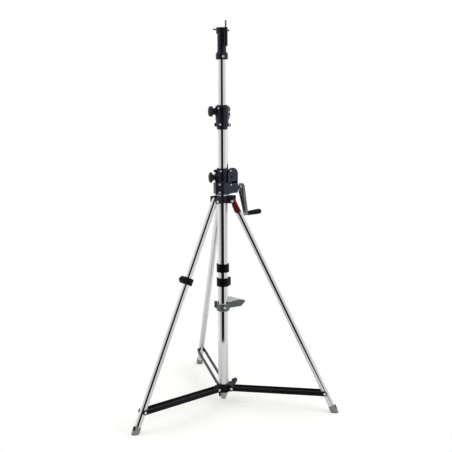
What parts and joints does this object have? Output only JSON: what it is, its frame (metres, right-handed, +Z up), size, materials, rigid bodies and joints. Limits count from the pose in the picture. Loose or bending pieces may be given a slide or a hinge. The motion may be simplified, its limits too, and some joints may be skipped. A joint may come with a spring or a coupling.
{
  "type": "crank lighting stand",
  "caption": "Wind-up lighting stand: folding tripod, crank gearbox, telescoping chrome column with a socket head.",
  "frame": {"origin": "centre of the footprint's bounding box, on the floor", "axes": "+Z up along the column; the front leg points to -X -Y, the levelling leg to +X, the rear leg to +Y; the crank points to +X +Y"},
  "size_m": [0.9574, 0.9489, 1.817],
  "materials": {
    "chrome": "polished chrome tube",
    "black_casting": "satin black powder coat on a casting",
    "blue_black_casting": "satin blue-black powder coat on a casting",
    "grey_casting": "grey-green enamel on a casting",
    "black_bar": "semi-gloss black paint on flat bar",
    "black_paint": "satin black paint",
    "bright_steel": "zinc-plated",
    "cable": "stranded steel cable",
    "brass": "machined brass, dulled",
    "bronze": "cast bronze",
    "nylon": "moulded nylon",
    "black_plastic": "fine-grained moulded plastic",
    "rubber": "moulded rubber",
    "red_plastic": "dark red moulded plastic"
  },
  "bodies": {
    "base": {"base_column": "chrome", "base_plug": "grey_casting", "leg_collar": "black_casting", "collar_pins": "bright_steel", "gearbox_housing": "blue_black_casting", "gearbox_cover": "blue_black_casting", "base_screws": "bright_steel", "gearbox_pins": "bright_steel", "column_bush": "nylon", "column_clips": "black_plastic", "support_bracket": "grey_casting", "lift_cable": "cable", "stage_cable_outer": "cable", "cable_ferrule": "black_paint"},
    "crank": {"crank_shaft": "bright_steel", "crank_arm": "grey_casting", "grip_spindle": "bright_steel"},
    "grip": {"crank_grip": "black_plastic"},
    "drum": {"worm_wheel": "bronze", "cable_drum": "bright_steel"},
    "guide_pulley": {"guide_pulley": "nylon"},
    "gearbox_knob": {"gearbox_knob": "black_plastic"},
    "mid": {"mid_column": "chrome", "mid_column_guide": "nylon", "upper_clamp": "black_casting", "upper_clamp_screws": "bright_steel", "top_bush": "nylon", "stage_cable_inner": "cable"},
    "stage_pulley": {"stage_pulley": "brass"},
    "upper_knob": {"upper_knob": "black_plastic"},
    "top": {"top_column": "chrome", "top_column_guide": "nylon", "head_socket": "black_casting", "head_bolt": "bright_steel", "spigot_tip": "brass"},
    "head_screw": {"head_screw": "black_paint"},
    "hub": {"brace_hub": "black_casting", "hub_rivets": "bright_steel"},
    "hub_knob": {"hub_knob": "black_plastic"},
    "leg_front": {"leg_tube_front": "chrome", "foot_cap_front": "grey_casting", "foot_pad_front": "rubber", "leg_clip": "black_plastic"},
    "leg_right": {"leg_tube_right": "chrome", "release_sleeve": "red_plastic", "levelling_bush": "nylon"},
    "leg_rear": {"leg_tube_rear": "chrome", "foot_cap_rear": "grey_casting", "foot_pad_rear": "rubber"},
    "levelling_foot": {"levelling_tube": "chrome", "foot_cap_right": "grey_casting", "foot_pad_right": "rubber"},
    "release_lever": {"release_lever": "red_plastic"},
    "brace_front": {"brace_front": "black_bar", "brace_rivets_front": "bright_steel"},
    "brace_right": {"brace_right": "black_bar", "brace_rivets_right": "bright_steel"},
    "brace_rear": {"brace_rear": "black_bar", "brace_rivets_rear": "bright_steel"}
  },
  "joints": [
    {"name": "crank_turn", "type": "hinge", "parent": "base", "child": "crank", "pos_m": [0.01259, -0.01325, 1.049], "axis": [0.7193, 0.6947, 0], "range_deg": [-4500, 22500]},
    {"name": "grip_spin", "type": "hinge", "parent": "crank", "child": "grip", "pos_m": [0.06424, 0.00524, 0.92097], "axis": [0.7193, 0.6947, 0], "continuous": true},
    {"name": "drum_turn", "type": "hinge", "parent": "base", "child": "drum", "pos_m": [-0.03194, -0.04235, 1.0685], "axis": [-0.6947, 0.7193, 0], "range_deg": [-4500, 900]},
    {"name": "guide_pulley_turn", "type": "hinge", "parent": "base", "child": "guide_pulley", "pos_m": [-0.04471, -0.05468, 1.103], "axis": [-0.6947, 0.7193, 0], "range_deg": [-1036.46, 5181.92]},
    {"name": "middle_lift", "type": "slide", "parent": "base", "child": "mid", "axis": [0, 0, 1], "range_m": [-0.14933, 0.74623], "deforming": ["stage_cable_outer", "lift_cable"]},
    {"name": "stage_pulley_turn", "type": "hinge", "parent": "mid", "child": "stage_pulley", "pos_m": [-0.04753, -0.05741, 1.405], "axis": [-0.6947, 0.7193, 0], "range_deg": [-1078.96, 5394.42]},
    {"name": "top_lift", "type": "slide", "parent": "mid", "child": "top", "axis": [0, 0, 1], "range_m": [-0.14933, 0.74623], "deforming": ["stage_cable_inner"]},
    {"name": "gearbox_knob_turn", "type": "hinge", "parent": "base", "child": "gearbox_knob", "pos_m": [-0.11778, -0.08276, 1.103], "axis": [-0.9903, -0.1392, 0], "range_deg": [0, 360]},
    {"name": "upper_knob_turn", "type": "hinge", "parent": "mid", "child": "upper_knob", "pos_m": [-0.11778, -0.08276, 1.409], "axis": [-0.9903, -0.1392, 0], "range_deg": [0, 360]},
    {"name": "head_screw_turn", "type": "hinge", "parent": "top", "child": "head_screw", "pos_m": [-0.07047, -0.02771, 1.778], "axis": [-0.0872, 0.9962, 0], "range_deg": [0, 360]},
    {"name": "hub_slide", "type": "slide", "parent": "base", "child": "hub", "axis": [0, 0, 1], "range_m": [0, 0.366]},
    {"name": "hub_knob_turn", "type": "hinge", "parent": "hub", "child": "hub_knob", "pos_m": [-0.02313, -0.03385, 0.076], "axis": [0.7193, 0.6947, 0], "range_deg": [0, 360]},
    {"name": "leg_front_fold", "type": "hinge", "parent": "base", "child": "leg_front", "pos_m": [-0.10369, -0.11165, 0.994], "axis": [0.6947, -0.7193, 0], "range_deg": [0, 21.25]},
    {"name": "leg_right_fold", "type": "hinge", "parent": "base", "child": "leg_right", "pos_m": [-0.0163, -0.08986, 0.994], "axis": [0.2756, 0.9613, 0], "range_deg": [0, 21.25]},
    {"name": "leg_rear_fold", "type": "hinge", "parent": "base", "child": "leg_rear", "pos_m": [-0.07887, -0.02507, 0.994], "axis": [-0.9703, -0.2419, 0], "range_deg": [0, 21.25]},
    {"name": "brace_front_fold", "type": "hinge", "parent": "hub", "child": "brace_front", "pos_m": [-0.09938, -0.10748, 0.069], "axis": [0.6947, -0.7193, 0], "range_deg": [0, 80.21]},
    {"name": "brace_right_fold", "type": "hinge", "parent": "hub", "child": "brace_right", "pos_m": [-0.02207, -0.0882, 0.069], "axis": [0.2756, 0.9613, 0], "range_deg": [0, 80.21]},
    {"name": "brace_rear_fold", "type": "hinge", "parent": "hub", "child": "brace_rear", "pos_m": [-0.07741, -0.03089, 0.069], "axis": [-0.9703, -0.2419, 0], "range_deg": [0, 80.21]},
    {"name": "levelling_slide", "type": "slide", "parent": "leg_right", "child": "levelling_foot", "axis": [0.4292, -0.1231, -0.8948], "range_m": [0, 0.3]},
    {"name": "release_squeeze", "type": "hinge", "parent": "leg_right", "child": "release_lever", "pos_m": [-0.01675, -0.08973, 0.97477], "axis": [-0.2756, -0.9613, 0], "range_deg": [0, 5], "stiffness_Nm_per_rad": 2, "springref_deg": -2.86}
  ],
  "couplings": [
    {"joint": "middle_lift", "follows": "crank_turn", "m_per_rad": 0.0019},
    {"joint": "top_lift", "follows": "crank_turn", "m_per_rad": 0.0019},
    {"joint": "drum_turn", "follows": "crank_turn", "ratio": -0.2},
    {"joint": "guide_pulley_turn", "follows": "crank_turn", "ratio": 0.2303},
    {"joint": "stage_pulley_turn", "follows": "crank_turn", "ratio": 0.23975},
    {"joint": "leg_front_fold", "follows": "hub_slide", "rad_per_m": 1.0132},
    {"joint": "brace_front_fold", "follows": "hub_slide", "rad_per_m": 3.8247},
    {"joint": "leg_right_fold", "follows": "hub_slide", "rad_per_m": 1.0132},
    {"joint": "brace_right_fold", "follows": "hub_slide", "rad_per_m": 3.8247},
    {"joint": "leg_rear_fold", "follows": "hub_slide", "rad_per_m": 1.0132},
    {"joint": "brace_rear_fold", "follows": "hub_slide", "rad_per_m": 3.8247}
  ]
}
